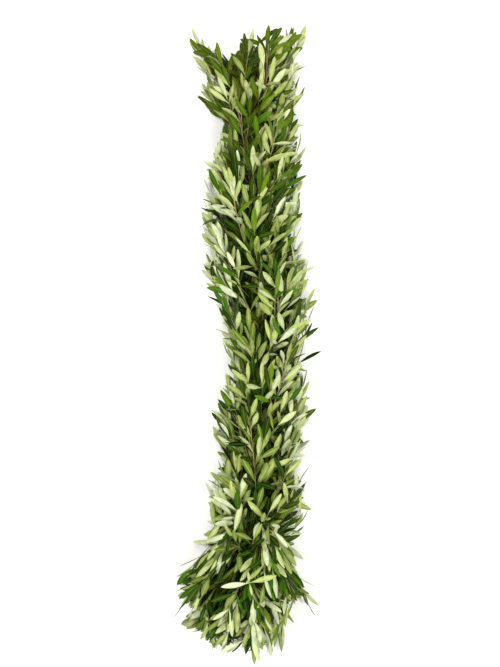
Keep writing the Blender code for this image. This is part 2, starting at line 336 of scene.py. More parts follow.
def stem_points(spray, attempt):
    """Its angle round the rope, and its joints: two where it is bound, then one a leafy length."""
    draw = random.Random(f"stem {spray.number} {attempt}")
    azimuth = spray.azimuth + draw.uniform(-1, 1) * (STEM_TURN + attempt)
    ahead = (TOP_LENGTH if spray.way > 0 else FOOT_LENGTHS[spray.tie]) * draw.uniform(*LENGTH_RANGE)
    start = tie_y(spray.tie) - spray.way * BOUND_LENGTH / 2
    leave = tie_y(spray.tie) + spray.way * BOUND_LENGTH / 2
    right, up = math.cos(math.radians(azimuth)), math.sin(math.radians(azimuth))
    outline = RIGHT_REACH if right > 0 else LEFT_REACH
    reach = max(eased(outline, leave + spray.way * ahead) - LEAF_REACH, LEAST_REACH)
    sideways = reach * math.copysign(math.sqrt(abs(right)), right) * draw.uniform(*REACH_RANGE)
    rise = (RISE if up > 0 else SAG) * up - SIDE_DROOP * abs(right)
    sway = draw.uniform(-SWAY, SWAY)
    beside = ROPE_RADIUS + BOUND_GAP + STEM_RADIUS
    points = [around_rope(start, azimuth, beside), around_rope(leave, azimuth, beside)]
    for joint in range(1, PAIRS + 1):
        share = joint / PAIRS
        out = share**OUT_POWER * (OUT_EARLY + (1 - OUT_EARLY) * share)
        place = around_rope(leave + spray.way * ahead * share, azimuth, beside + PAST_NEXT_TIE)
        place.x += sideways * out + sway * math.sin(math.pi * share)
        place.z = max(place.z + rise * out, LOWEST_STEM)
        points.append(place)
    return azimuth, points


tip_share = STEM_TIP_RADIUS / STEM_RADIUS
stem_shares = [1.0, 1.0] + [1 + (tip_share - 1) * joint / PAIRS for joint in range(1, PAIRS + 1)]


def corner_tree(node):
    corners = corners_of(node)
    found = kdtree.KDTree(len(corners))
    for i, corner in enumerate(corners):
        found.insert(corner, i)
    found.balance()
    return found


def share_met(corners, points):
    """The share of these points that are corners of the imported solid."""
    return sum(corners.find(point + in_frame)[2] < SAME_PLACE for point in points) / len(points)


def packed_stem(spray, corners):
    """The stem's joints and its plain shape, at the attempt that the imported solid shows."""
    best_share, best = -1.0, None
    for attempt in range(STEM_TRIES):
        azimuth, points = stem_points(spray, attempt)
        tilt = -spray.way * math.radians(azimuth)
        plain = tube(points, STEM_RADIUS, 0, stem_shares, tilt)
        share = share_met(corners, [vertex.co for vertex in plain.vertices])
        if share > best_share:
            best_share, best = share, (points, plain)
        if best_share > MOST_CORNERS:
            break
    return best


sprays = []
for tie in range(TIES):
    for turn in range(SPRAYS_PER_TIE):
        azimuth = tie_azimuth(tie) + 360 / SPRAYS_PER_TIE * turn
        sprays.append(Spray(len(sprays) + 1, tie, 1, azimuth))
        if tie in FOOT_LENGTHS:
            sprays.append(Spray(len(sprays) + 1, tie, -1, azimuth + 180 / SPRAYS_PER_TIE))


# An olive leaf is a stiff narrow blade, 50 to 95 mm long, on a short stalk: dark and glossy above,
# pale and matt below, with a ridge along the midrib. Leaves grow in opposite pairs, each turned
# from the last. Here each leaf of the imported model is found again.
PAIR_SIZES = (1.02, 1.05, 1.0, 0.92)
TIP_LEAF_SIZE = 0.88
LEAF_LENGTH = 0.080
LEAF_LENGTH_RANGE = (0.84, 1.12)
LEAF_WIDTH = 0.0175
LEAF_WIDTH_RANGE = (0.88, 1.10)
LEAF_KEEL = 0.0016
BLADE_CORNERS = (
    (0.0, 0, 0), (0.0, 0, 0.65), (0.38, -0.97, 0), (0.38, 0.97, 0),
    (0.68, -0.86, 0), (0.68, 0.86, 0), (0.5, 0, 1), (1.0, 0, 0),
)
ROOT_CORNERS = 2
FIRST_ROW = 0.38
ROOT_PAST_MIDDLE = 0.0002
TIP_LEAF_SUNK = 0.003
SPREAD_RANGE = (23, 42)
TIP_SPREAD = 6
SWERVE = 0.25
ROLL = 20
BEND_RANGE = (-8, 22)
PALE_SHARE = 0.65
NATURAL_TURN = 0.35
PRESSED_BELOW = 0.014
STEEPEST = -0.94
LEAF_TRIES = 60
TRIES_PER_STRAY = 12
SHORTER_AFTER = 24
SHORTER = 0.84
SKIN_ARCH = 0.4
SKIN_KEEL = 0.3

# Where a leaf grows: outward is None for the leaf at a stem's tip
Spot = namedtuple("Spot", "number root along outward size")
Leaf = namedtuple("Leaf", "root heading across facing length width bend pressed")


def flat_side(stem, start, end, wished):
    """The way that a side of the plain stem faces, between two joints, nearest to a wished way."""
    along = end - start
    sides = []
    for face in stem.polygons:
        between = 0 < (face.center - start).dot(along) < along.dot(along)
        if between and abs(face.normal.dot(along)) < SIDE_FACE_LEAN * along.length:
            sides.append(face.normal)
    return max(sides, key=wished.dot).copy()


def leaf_spots(points, stem):
    spots = []
    turned = Vector((0, 0, 1))
    for pair in range(PAIRS):
        start, end = points[pair + 1], points[pair + 2]
        along = (end - start).normalized()
        turned = flat_side(stem, start, end, along.cross(turned).normalized())
        for outward in (turned, -turned):
            root = (start + end) / 2 - outward * ROOT_PAST_MIDDLE
            spots.append(Spot(len(spots), root, along, outward, PAIR_SIZES[pair]))
    along = (points[-1] - points[-2]).normalized()
    spots.append(Spot(len(spots), points[-1] - along * TIP_LEAF_SUNK, along, None, TIP_LEAF_SIZE))
    return spots


def leaf_ways(spot, spread, swerve, stray=1):
    """The way from the stem to a leaf's side of it, and the way that the leaf points."""
    side = spot.outward or spot.along.orthogonal().normalized()
    side = side + spot.along.cross(side) * swerve * stray
    side = (side - spot.along * side.dot(spot.along)).normalized()
    return side, swung(spot.along, side, spread)


def posed_leaf(number, spot, attempt):
    """How one leaf leaves its stem. Later attempts stray further from the first."""
    draw = random.Random(f"leaf {number} {spot.number} {attempt}")
    stray = 1 + attempt / TRIES_PER_STRAY
    low, high = SPREAD_RANGE if spot.outward else (0, TIP_SPREAD)
    spread = math.radians((low + high) / 2 + draw.uniform(low - high, high - low) / 2 * stray)
    side, heading = leaf_ways(spot, spread, draw.uniform(-SWERVE, SWERVE), stray)
    length = LEAF_LENGTH * spot.size * draw.uniform(*LEAF_LENGTH_RANGE)
    length *= SHORTER if attempt > SHORTER_AFTER else 1.0
    width = LEAF_WIDTH * spot.size * draw.uniform(*LEAF_WIDTH_RANGE)
    pale_side_out = draw.random() < PALE_SHARE
    roll = math.radians(draw.uniform(-ROLL, ROLL) * stray)
    bend = math.radians(draw.uniform(*BEND_RANGE))

    reach_down = length * (FIRST_ROW if spot.root.z < PRESSED_BELOW else 1.0)
    steepest = max(STEEPEST, -spot.root.z / reach_down)
    pressed = heading.z < steepest
    if pressed:
        level = Vector((heading.x, heading.y, 0)).normalized()
        heading = level * math.sqrt(1 - steepest**2) + Vector((0, 0, steepest))
        across = heading.cross(Vector((0, 0, -1))).normalized()
        bend = 0.0
    else:
        inward = (rope_point(spot.root.y) - spot.root).normalized()
        natural = swung(-side, spot.along, spread)
        upper_side = natural * NATURAL_TURN + (inward if pale_side_out else -inward)
        across = heading.cross(upper_side).normalized()
        across = swung(across, heading.cross(across), roll)
    return Leaf(spot.root, heading, across, across.cross(heading), length, width, bend, pressed)


def blade_points(leaf, widen=0.0):
    """The corners of the plain solid that stands for one leaf."""
    points = []
    for along, across, depth in BLADE_CORNERS:
        angle = leaf.bend * along
        chord = swung(leaf.heading, -leaf.facing, angle / 2)
        normal = swung(leaf.facing, leaf.heading, angle)
        point = leaf.root + chord * (leaf.length * along + widen * (along == 1.0))
        if leaf.pressed:
            point.z = max(point.z, 0.0)
        point += leaf.across * across * (leaf.width / 2 + widen) - normal * depth * LEAF_KEEL
        if leaf.pressed:
            point.z = max(point.z, 0.0)
        points.append(point)
    return points


class Thicket:
    """What already grows, kept by cells, so that a new piece is tested only against neighbours."""

    CELL = 0.035

    def __init__(self):
        self.cells = defaultdict(list)

    def keys(self, points):
        spans = []
        for k in range(3):
            cells = [math.floor(point[k] / self.CELL) for point in points]
            spans.append(range(min(cells), max(cells) + 1))
        return product(*spans)

    def add(self, points, faces, tree=None):
        tree = tree or bvhtree.BVHTree.FromPolygons(points, faces)
        for key in self.keys(points):
            self.cells[key].append(tree)

    def room_for(self, points, faces):
        """The new piece's tree if it crosses nothing, else None."""
        tree = bvhtree.BVHTree.FromPolygons(points, faces)
        tried = set()
        for key in self.keys(points):
            for other in self.cells.get(key, ()):
                if id(other) not in tried and tree.overlap(other):
                    return None
                tried.add(id(other))
        return tree


# The skin round the plain solid's corners, as faces, without those at its root in the stem
work = bmesh.new()
for along, across, depth in BLADE_CORNERS:
    work.verts.new((across, along, SKIN_ARCH * along * (1 - along) - SKIN_KEEL * depth))
bmesh.ops.convex_hull(work, input=work.verts)
work.verts.index_update()
skin = [tuple(vertex.index for vertex in face.verts) for face in work.faces]
free_faces = [face for face in skin if min(face) >= ROOT_CORNERS]
work.free()

thicket = Thicket()
grown = {}
for spray in sprays:
    corners = corner_tree(f"spray_{spray.number:02d}")
    points, plain = packed_stem(spray, corners)
    leaves = []
    for spot in leaf_spots(points, plain):
        for attempt in range(LEAF_TRIES):
            leaf = posed_leaf(spray.number, spot, attempt)
            placed = blade_points(leaf)
            if share_met(corners, placed[ROOT_CORNERS:]) > MOST_CORNERS:
                leaves.append(leaf)
                thicket.add(placed, free_faces)
                break
    for start, end in zip(points, points[1:]):
        segment = tube([start, end], STEM_TIP_RADIUS)
        ends = [vertex.co for vertex in segment.vertices]
        thicket.add(ends, [tuple(face.vertices) for face in segment.polygons])
        bpy.data.meshes.remove(segment)
    grown[spray.number] = (spray, points, plain, leaves)


# Between its longest leaves a real spray is bushy, with more pairs on its stem and short side
# twigs with smaller leaves. They grow about as far as the outline below, each clear of the rest.

# The outline seen from above: (y, x) down each side, then (x, y) round each end
LEFT_EDGE = (
    (-0.925, -0.015), (-0.907, -0.126), (-0.885, -0.135), (-0.865, -0.165), (-0.838, -0.216),
    (-0.804, -0.2), (-0.775, -0.196), (-0.735, -0.25), (-0.684, -0.246), (-0.662, -0.175),
    (-0.64, -0.152), (-0.58, -0.148), (-0.54, -0.134), (-0.5, -0.138), (-0.45, -0.134),
    (-0.41, -0.14), (-0.36, -0.1), (-0.31, -0.126), (-0.22, -0.125), (-0.165, -0.118),
    (-0.115, -0.07), (-0.095, -0.106), (-0.06, -0.074), (-0.01, -0.1), (0.05, -0.088), (0.1, -0.11),
    (0.16, -0.15), (0.21, -0.163), (0.235, -0.128), (0.265, -0.138), (0.32, -0.164),
    (0.385, -0.158), (0.42, -0.14), (0.49, -0.15), (0.545, -0.11), (0.615, -0.09), (0.655, -0.15),
    (0.72, -0.162), (0.765, -0.138), (0.8, -0.168), (0.84, -0.194), (0.87, -0.2),
)
RIGHT_EDGE = (
    (-0.925, 0.04), (-0.907, 0.069), (-0.87, 0.084), (-0.804, 0.092), (-0.78, 0.1), (-0.735, 0.16),
    (-0.7, 0.122), (-0.66, 0.128), (-0.615, 0.104), (-0.57, 0.134), (-0.51, 0.158), (-0.45, 0.152),
    (-0.42, 0.142), (-0.39, 0.114), (-0.36, 0.144), (-0.31, 0.142), (-0.27, 0.13), (-0.2, 0.156),
    (-0.14, 0.152), (-0.06, 0.139), (0.0, 0.146), (0.03, 0.176), (0.05, 0.16), (0.085, 0.14),
    (0.15, 0.148), (0.205, 0.176), (0.225, 0.15), (0.27, 0.11), (0.3, 0.124), (0.35, 0.138),
    (0.39, 0.122), (0.42, 0.13), (0.45, 0.12), (0.53, 0.138), (0.575, 0.12), (0.66, 0.12),
    (0.71, 0.13), (0.75, 0.108), (0.78, 0.126), (0.81, 0.114), (0.84, 0.134), (0.87, 0.146),
)
TOP_EDGE = (
    (-0.205, 0.868), (-0.165, 0.848), (-0.12, 0.86), (-0.082, 0.798), (-0.043, 0.862), (0.0, 0.875),
    (0.022, 0.852), (0.057, 0.898), (0.095, 0.912), (0.135, 0.895), (0.155, 0.86),
)
FOOT_EDGE = (
    (-0.235, -0.76), (-0.215, -0.842), (-0.18, -0.85), (-0.146, -0.868), (-0.12, -0.905),
    (-0.026, -0.905), (0.0, -0.92), (0.043, -0.92), (0.077, -0.884), (0.094, -0.84), (0.112, -0.77),
    (0.17, -0.74),
)
CROWN_ROUNDNESS = 2.2
SHOULDER_HEIGHT = 0.095
EDGE_GIVES = (0.006, 0.006, -0.004, -0.014)
PAIR_PLACES = (0.14, 0.86)
PAIR_STEM_SIZE = (0.82, 1.04)
# Where the side twigs leave a stem, and their lengths
TWIGS = ((0.1, 0.115), (0.6, 0.11), (1.15, 0.1), (1.8, 0.09), (2.5, 0.075))
END_TWIGS = ((0.3, 0.145), (0.8, 0.135), (1.35, 0.12), (1.9, 0.105), (2.5, 0.09), (3.1, 0.07))
END_TWIG_ANGLE = (30, 64)
FIRST_END_TIE = 13
LOW_TWIGS = (
    (0.05, 0.125), (0.4, 0.125), (0.85, 0.115), (1.35, 0.105), (1.95, 0.095), (2.65, 0.075),
)
LOW_TWIG_ANGLE = (20, 60)
LOW_SPRAY = -0.2
TWIG_LENGTH_RANGE = (0.85, 1.15)
TWIG_ANGLE = (22, 46)
TWIG_STRAIGHTENS = 0.55
TWIG_RADIUS = 0.0011
TWIG_TIP_RADIUS = 0.0006
TWIG_STEPS = 6
TWIG_TRIES = 16
TWIG_INWARD = 0.5
TWIG_KEEPS_IN = 0.010
TWIG_SHIFT = 0.25
TWIG_TIP_ROOM = 0.4
TWIG_PAIR_GAP = 0.027
LOW_PAIR_GAP = 0.019
TWIG_LEAF_SIZE = (0.78, 1.08)
FILL_TRIES = 10
LEAF_CLEARANCE = 0.0004
FILL_SPREAD = (14, 64)
FOOT_SPREAD = (8, 42)
FILL_SWERVE = 0.55
FILL_ROLL = 34
FILL_BEND = (-16, 38)
FILL_PALE_SHARE = (0.34, 0.84)
PALE_ALONG = (
    (-0.92, 0.5), (-0.8, 0.3), (-0.68, -0.2), (-0.58, 0.16), (-0.45, 0.24), (-0.2, 0.24),
    (-0.03, 0.26), (0.12, 0.06), (0.22, 0.08), (0.34, 0.14), (0.46, -0.14), (0.6, -0.12),
    (0.73, 0.08), (0.8, -0.4), (0.9, -0.6),
)
INNER_PALE_SHARE = 0.12
INNER_OUT = (0.45, 0.85)
BACK_REACH = 1.5
MEASURED_AT = 0.7
LIES_FLATTER = 0.75
SHOWS_UP = 0.85
END_TURN = 0.9
END_TURNS_FROM = 0.74
END_TURNS_OVER = 0.10
LEFT_LEAN = ((-0.60, 0.0), (0.30, -0.10), (0.60, -0.15), (0.90, -0.45))
RIGHT_LEAN = ((-0.60, 0.0), (-0.20, 0.20), (0.10, 0.45), (0.35, 0.40), (0.60, 0.65), (0.90, 0.80))
LEAST_ON_TWIG = 3
STANDING_SPRAY = 9
STANDING_FROM = 1.9
STANDING_TIP = Vector((-0.016, -0.694, 0.168))
STANDING_BOW = Vector((0, 0.012, 0))
STANDING_LEAVES = ((189, 0.12, 1.02), (15, 0.20, 1.00), (96, 0.9, 0.50), (283, 0.5, 0.46))
STANDING_BEND = 20
# Twigs that are led to a given tip, by spray, and lengths of stem that no leaf hides
LED_TWIGS = {
    55: ((3.5, (0.092, 0.838, 0.122)), (2.6, (0.118, 0.79, 0.11))),
    53: ((3.6, (-0.168, 0.815, 0.085)), (2.8, (-0.15, 0.72, 0.08))),
    50: ((3.7, (-0.112, 0.815, 0.12)), (3.0, (-0.02, 0.8, 0.135))),
    15: ((3.6, (-0.188, -0.748, 0.05)), (2.6, (-0.2, -0.7, 0.085)),
         (2.9, (-0.176, -0.812, 0.065)), (2.4, (-0.128, -0.842, 0.105))),
    21: ((3.0, (-0.205, -0.712, 0.035)), (2.6, (-0.18, -0.785, 0.03)),
         (3.3, (-0.158, -0.8, 0.07))),
    9: ((3.2, (-0.09, -0.878, 0.1)), (3.0, (0.045, -0.872, 0.095)),
        (2.4, (-0.04, -0.885, 0.14)), (3.5, (0.02, -0.89, 0.115))),
    5: ((3.2, (-0.112, -0.868, 0.045)), (2.6, (-0.178, -0.815, 0.04))),
    11: ((3.3, (-0.043, -0.885, 0.05)),),
    7: ((3.2, (0.03, -0.893, 0.055)), (2.6, (0.055, -0.86, 0.04))),
    13: ((3.3, (0.104, -0.77, 0.045)), (2.8, (0.082, -0.8, 0.085)),
         (2.2, (0.146, -0.736, 0.085))),
}
LED_BOW = 0.016
BARE_STEMS = {14: (2.6, 5.0), 50: (3.0, 4.6), 55: (3.2, 4.6)}
BARE_CLEAR = 0.008
BARE_DEPTH = 0.004
BARE_TESTS = (0.25, 0.4, 0.55, 0.7, 0.85, 1.0)
BARE_LEAVES = 2
BARE_LEAF_STEPS = 8
LINE_STEPS = 6
FOOT_PALE_SHARE = (0.45, 0.80)
EDGE_ON = 0.45
TURNS_UP = 28
FLOOR_GAP = 0.0008
FLOOR_REST = 0.004
BOX_GAP = 0.002


def flowing(points, steps):
    """A smooth line through the points, and the share of the line's joints at each of its own."""
    line, places = [], []
    for k in range(len(points) - 1):
        b, c = points[k], points[k + 1]
        a = points[k - 1] if k else b * 2 - c
        d = points[k + 2] if k + 2 < len(points) else c * 2 - b
        for step in range(steps):
            t = step / steps
            line.append(0.5 * (2 * b + (c - a) * t + (2 * a - 5 * b + 4 * c - d) * t**2
                               + (3 * b - a - 3 * c + d) * t**3))
            places.append(k + t)
    return line + [points[-1]], places + [len(points) - 1.0]


def at_place(line, places, place):
    """The point and the direction at one place along a smooth line."""
    k = min(max(sum(1 for p in places if p <= place) - 1, 0), len(places) - 2)
    share = (place - places[k]) / (places[k + 1] - places[k])
    return line[k].lerp(line[k + 1], share), (line[k + 1] - line[k]).normalized()


def on_leaf(leaf, share):
    """The point at a share of a leaf's length."""
    return leaf.root + leaf.heading * leaf.length * share


def edges_at(point):
    """The outline's left and right at a point, and its place between them, from -1 to 1."""
    left, right = eased(LEFT_EDGE, point.y), eased(RIGHT_EDGE, point.y)
    return left, right, (2 * point.x - left - right) / (right - left)


box_gap = Vector((BOX_GAP, BOX_GAP, BOX_GAP))
low_corner = Vector(cad_box[0]) - in_frame + box_gap
high_corner = Vector(cad_box[1]) - in_frame - box_gap


def within_garland(points, give):
    """Whether points lie inside the garland's outline and under its rounded crown."""
    for point in points:
        left, right, off_middle = edges_at(point)
        if not left - give < point.x < right + give:
            return False
        if not eased(FOOT_EDGE, point.x) - give < point.y < eased(TOP_EDGE, point.x) + give:
            return False
        if not (low_corner.x < point.x < high_corner.x and low_corner.y < point.y < high_corner.y):
            return False
        crown = (1 - min(abs(off_middle), 1.0) ** CROWN_ROUNDNESS) ** (1 / CROWN_ROUNDNESS)
        if point.z > SHOULDER_HEIGHT + (high_corner.z - SHOULDER_HEIGHT) * crown + give:
            return False
        if not FLOOR_GAP < point.z < high_corner.z:
            return False
    return True


def over_bare_stem(leaf):
    """Whether a leaf would hide one of the stems that show in the photo."""
    for share in BARE_TESTS:
        point = on_leaf(leaf, share)
        for bare in bare_points:
            over = point.z > bare.z - BARE_DEPTH
            if over and math.hypot(point.x - bare.x, point.y - bare.y) < BARE_CLEAR:
                return True
    return False


def outness(point):
    """How far out in the garland's cross-section a point is: 0 at its middle, 1 at its outline."""
    middle = rope_point(point.y).z
    reach = high_corner.z - middle if point.z > middle else BACK_REACH * middle
    out = math.hypot(edges_at(point)[2], (point.z - middle) / reach)
    return clamped((out - INNER_OUT[0]) / (INNER_OUT[1] - INNER_OUT[0]))


def filling_leaf(draw, spot, pale_share):
    """A leaf that turns one of its sides outward and up, as leaves that grow to the light do."""
    widest = FILL_SPREAD if spot.along.y > 0 else FOOT_SPREAD
    spread = math.radians(draw.uniform(*(widest if spot.outward else (0, TIP_SPREAD))))
    side, heading = leaf_ways(spot, spread, draw.uniform(-FILL_SWERVE, FILL_SWERVE))
    off_middle = edges_at(spot.root)[2]
    lean = eased(RIGHT_LEAN if off_middle > 0 else LEFT_LEAN, spot.root.y)
    heading.x += lean * min(abs(off_middle), 1.0)
    heading.normalize()
    length = LEAF_LENGTH * spot.size * draw.uniform(*LEAF_LENGTH_RANGE)
    heading.z = max(heading.z * LIES_FLATTER, (FLOOR_REST - spot.root.z) / length)
    heading.normalize()
    shown = (spot.root - rope_point(spot.root.y)).normalized()
    shown.z = abs(shown.z) + SHOWS_UP
    at_end = clamped((abs(spot.root.y) - END_TURNS_FROM) / END_TURNS_OVER)
    shown.y += END_TURN * math.copysign(at_end, spot.root.y)
    natural = swung(-side, spot.along, spread)
    out = outness(spot.root + heading * length * MEASURED_AT)
    pale_out = pale_share + eased(PALE_ALONG, spot.root.y)
    pale_here = INNER_PALE_SHARE + (pale_out - INNER_PALE_SHARE) * out
    upper_side = natural * NATURAL_TURN + (-shown if draw.random() < pale_here else shown)
    roll = math.radians(draw.uniform(-FILL_ROLL, FILL_ROLL))
    across = heading.cross(upper_side).normalized()
    across = swung(across, heading.cross(across), roll)
    width = LEAF_WIDTH * spot.size * draw.uniform(*LEAF_WIDTH_RANGE)
    bend = math.radians(draw.uniform(*FILL_BEND))
    return Leaf(spot.root, heading, across, across.cross(heading), length, width, bend, False)


def fill(draw, spot, pale_share, leaves):
    """Adds a leaf at a spot if a pose keeps it in the garland and clear of the rest."""
    give = draw.choice(EDGE_GIVES)
    for attempt in range(FILL_TRIES):
        leaf = filling_leaf(draw, spot, pale_share)
        placed = blade_points(leaf, LEAF_CLEARANCE)
        if not within_garland(placed, give) or over_bare_stem(leaf):
            continue
        tree = thicket.room_for(placed, free_faces)
        if tree:
            thicket.add(placed, free_faces, tree)
            leaves.append(leaf)
            return


def fill_pair(draw, root, along, last, sizes, pale_share, leaves):
    """Adds a pair of leaves, turned from the last pair, and gives the way that its first faces."""
    turned = along.cross(last).normalized()
    for outward in (turned, -turned):
        spot = Spot(None, root, along, outward, draw.uniform(*sizes))
        fill(draw, spot, pale_share, leaves)
    return turned


def side_twig(draw, start, along, length, most_inward, angles):
    """A short twig's line, to where the most room is: it sets off sideways and comes round."""
    inward = (rope_point(start.y) - start).normalized()
    most_room, best = 0.0, None
    for attempt in range(TWIG_TRIES):
        side = along.orthogonal().normalized()
        turn = draw.uniform(0, 2 * math.pi)
        side = swung(side, along.cross(side), turn)
        if side.dot(inward) > most_inward:
            continue
        angle = math.radians(draw.uniform(*angles))
        line = [start]
        for step in range(TWIG_STEPS):
            lean = angle * (1 - TWIG_STRAIGHTENS * step / TWIG_STEPS)
            line.append(line[-1] + swung(along, side, lean) * (length / TWIG_STEPS))
        room = min((line[-1] - tip).length for tip in leaf_tips)
        if room > most_room and within_garland(line[1:], -TWIG_KEEPS_IN):
            most_room, best = room, line
    return best


def led_twig(start, along, tip):
    """A twig's line to a given tip: it sets off its stem's way and bows over."""
    middle = start.lerp(tip, 0.5) + along * LED_BOW
    shares = [step / TWIG_STEPS for step in range(TWIG_STEPS + 1)]
    return [start * (1 - t) ** 2 + middle * 2 * t * (1 - t) + tip * t**2 for t in shares]


twigs = defaultdict(list)
line, places = flowing(grown[STANDING_SPRAY][1], LINE_STEPS)
foot = at_place(line, places, STANDING_FROM)[0]
twigs[STANDING_SPRAY].append([foot, foot.lerp(STANDING_TIP, 0.5) + STANDING_BOW, STANDING_TIP])
standing = []
for azimuth, rise, size in STANDING_LEAVES:
    angle = math.radians(azimuth)
    heading = Vector((math.cos(angle), math.sin(angle), rise)).normalized()
    across = heading.cross(Vector((0, 0, -1))).normalized()
    leaf = Leaf(STANDING_TIP, heading, across, across.cross(heading), LEAF_LENGTH * size,
                LEAF_WIDTH * size, math.radians(-STANDING_BEND), False)
    standing.append(leaf)
    thicket.add(blade_points(leaf), free_faces)
grown[STANDING_SPRAY][3].extend(standing)

bare_points = []
for leaf in standing[:BARE_LEAVES]:
    bare_points += [on_leaf(leaf, step / BARE_LEAF_STEPS) for step in range(BARE_LEAF_STEPS + 1)]
for number, (first, last) in BARE_STEMS.items():
    line, places = flowing(grown[number][1], LINE_STEPS)
    bare_points += [point for point, place in zip(line, places) if first <= place <= last]

leaf_tips = [on_leaf(leaf, 1) for entry in grown.values() for leaf in entry[3]]
for number, (spray, points, plain, leaves) in grown.items():
    draw = random.Random(f"bush {number}")
    pale_share = draw.uniform(*(FILL_PALE_SHARE if spray.way > 0 else FOOT_PALE_SHARE))
    line, places = flowing(points, LINE_STEPS)
    turned = flat_side(plain, points[1], points[2], Vector((0, 0, 1)))
    for length in range(PAIRS):
        for place in PAIR_PLACES:
            root, along = at_place(line, places, 1 + length + place)
            turned = fill_pair(draw, root, along, turned, PAIR_STEM_SIZE, pale_share, leaves)
    low = math.sin(math.radians(spray.azimuth)) < LOW_SPRAY
    planned = [(*twig, TWIG_INWARD, TWIG_ANGLE) for twig in TWIGS]
    if low:
        planned = [(*twig, 1.0, LOW_TWIG_ANGLE) for twig in LOW_TWIGS]
    if spray.way < 0 or spray.tie >= FIRST_END_TIE:
        planned = [(*twig, 1.0, END_TWIG_ANGLE) for twig in END_TWIGS] + planned
    led = [(place, Vector(tip), None, None) for place, tip in LED_TWIGS.get(number, ())]
    for place, twig_length, most_inward, angles in led + planned:
        start, along = at_place(line, places, 1 + place + draw.uniform(0, TWIG_SHIFT))
        if angles:
            length = twig_length * draw.uniform(*TWIG_LENGTH_RANGE)
            twig = side_twig(draw, start, along, length, most_inward, angles)
        else:
            twig = led_twig(start, along, twig_length)
            length = (twig_length - start).length
        if not twig:
            continue
        on_twig = []
        turned = (twig[1] - twig[0]).orthogonal().normalized()
        pairs = int(length / (LOW_PAIR_GAP if low else TWIG_PAIR_GAP))
        for pair in range(pairs):
            place = (pair + 1) / (pairs + TWIG_TIP_ROOM) * TWIG_STEPS
            root, along = at_place(twig, range(TWIG_STEPS + 1), place)
            turned = fill_pair(draw, root, along, turned, TWIG_LEAF_SIZE, pale_share, on_twig)
        along = (twig[-1] - twig[-2]).normalized()
        root = twig[-1] - along * TWIG_RADIUS
        spot = Spot(None, root, along, None, draw.uniform(*TWIG_LEAF_SIZE))
        fill(draw, spot, pale_share, on_twig)
        if len(on_twig) >= LEAST_ON_TWIG:
            leaves += on_twig
            twigs[number].append(twig)
            leaf_tips += [twig[-1], twig[TWIG_STEPS // 2]]


# Each leaf's own surface: a thin blade whose halves arch a little to either side of the midrib,
# made once and laid on every leaf with its own length, width, bend, fold and twist.
BLADE_COLUMNS = 4
BLADE_ROWS = 8
STALK_SHARE = 0.04
STALK_HALF = 0.11
TIP_HALF = 0.05
SLIM = 0.97
WIDEST_LATE = 1.12
BASE_TAPER = 1.15
TIP_TAPER = 0.62
MIDRIB_THICK = 0.0010
HALF_THICK = 0.00045
MARGIN_THICK = 0.00022
THICK_ALONG = ((0.0, 0.7, 1.0), (1.2, 1.0, 0.4))
HALF_RISES = 0.34
HALF_FALLS = 0.40
FOLD_RANGE = (-0.05, 0.38)
PRESSED_FOLD = 0.3
LEAF_TWIST = 22
TWIST_FROM = 0.3
UNDER_ABOVE_FLOOR = 0.0003
UPPER_ABOVE_FLOOR = 0.0007
EDGE_TUCK = 0.0002
YOUNG_TOP = 0.42
SPRAY_TONE = 0.22
TONE_ALONG = (
    (-0.92, 0.02), (-0.8, 0.06), (-0.68, -0.1), (-0.58, 0.0), (-0.36, -0.08), (-0.19, 0.06),
    (0.1, 0.03), (0.33, 0.09), (0.5, 0.0), (0.66, 0.06), (0.8, 0.26),
)
# Painted shade: the share of its tone that a leaf in the middle of the garland keeps
INNER_PAINTED_SHADE = 0.15
UPPER, UNDER, BARK = range(3)

work = bmesh.new()
work.loops.layers.uv.new("leaf")
bmesh.ops.create_grid(work, x_segments=BLADE_COLUMNS, y_segments=BLADE_ROWS, size=1.0,
                      calc_uvs=True)
bmesh.ops.solidify(work, geom=work.faces[:], thickness=1.0)
bmesh.ops.recalc_face_normals(work, faces=work.faces)
for face in work.faces:
    face.material_index = UPPER if face.normal.z > 0.5 else UNDER
grid = np.array([vertex.co for vertex in work.verts])
upper_level = max(vertex.co.z for vertex in work.verts)
blade = bpy.data.meshes.new("olive_leaf")
work.to_mesh(blade)
work.free()
low_limit = np.array(cad_box[0]) - np.array(in_frame) + EDGE_TUCK
high_limit = np.array(cad_box[1]) - np.array(in_frame) - EDGE_TUCK
blade.attributes.new("tone_and_painted_shade", "FLOAT", "POINT")
blade.attributes.new("young", "FLOAT", "POINT")

across = grid[:, 0]
share = 0.5 - 0.5 * np.cos(math.pi * (grid[:, 1] + 1) / 2)
below = np.abs(grid[:, 2] - upper_level) > 0.5
late = np.clip((share - STALK_SHARE) / (1 - STALK_SHARE), 0, 1) ** WIDEST_LATE
outline = np.sin(math.pi * late) ** np.where(late < 0.5, BASE_TAPER, TIP_TAPER)
half_width = np.maximum(outline, np.where(share < 0.5, STALK_HALF, TIP_HALF))
arch = HALF_RISES * np.abs(across) - HALF_FALLS * across**2
thickness = np.interp(np.abs(across), (0.0, 0.5, 1.0), (MIDRIB_THICK, HALF_THICK, MARGIN_THICK))
thickness = thickness * np.interp(share, *THICK_ALONG)


def turned_up(leaf):
    """The leaf, turned a little about its midrib where it is seen edge-on from above."""
    lack = 1 - min(abs(leaf.facing.z) / EDGE_ON, 1.0)
    if leaf.pressed or not lack:
        return leaf
    way = 1 if leaf.facing.z * leaf.across.z < 0 else -1
    angle = math.radians(TURNS_UP * lack) * way
    across = swung(leaf.across, leaf.heading.cross(leaf.across), angle)
    return leaf._replace(across=across, facing=across.cross(leaf.heading))


def swung_rows(first, second, angle):
    """The same as swung for rows of ways, each with its own angle."""
    return first * np.cos(angle)[:, None] + second * np.sin(angle)[:, None]


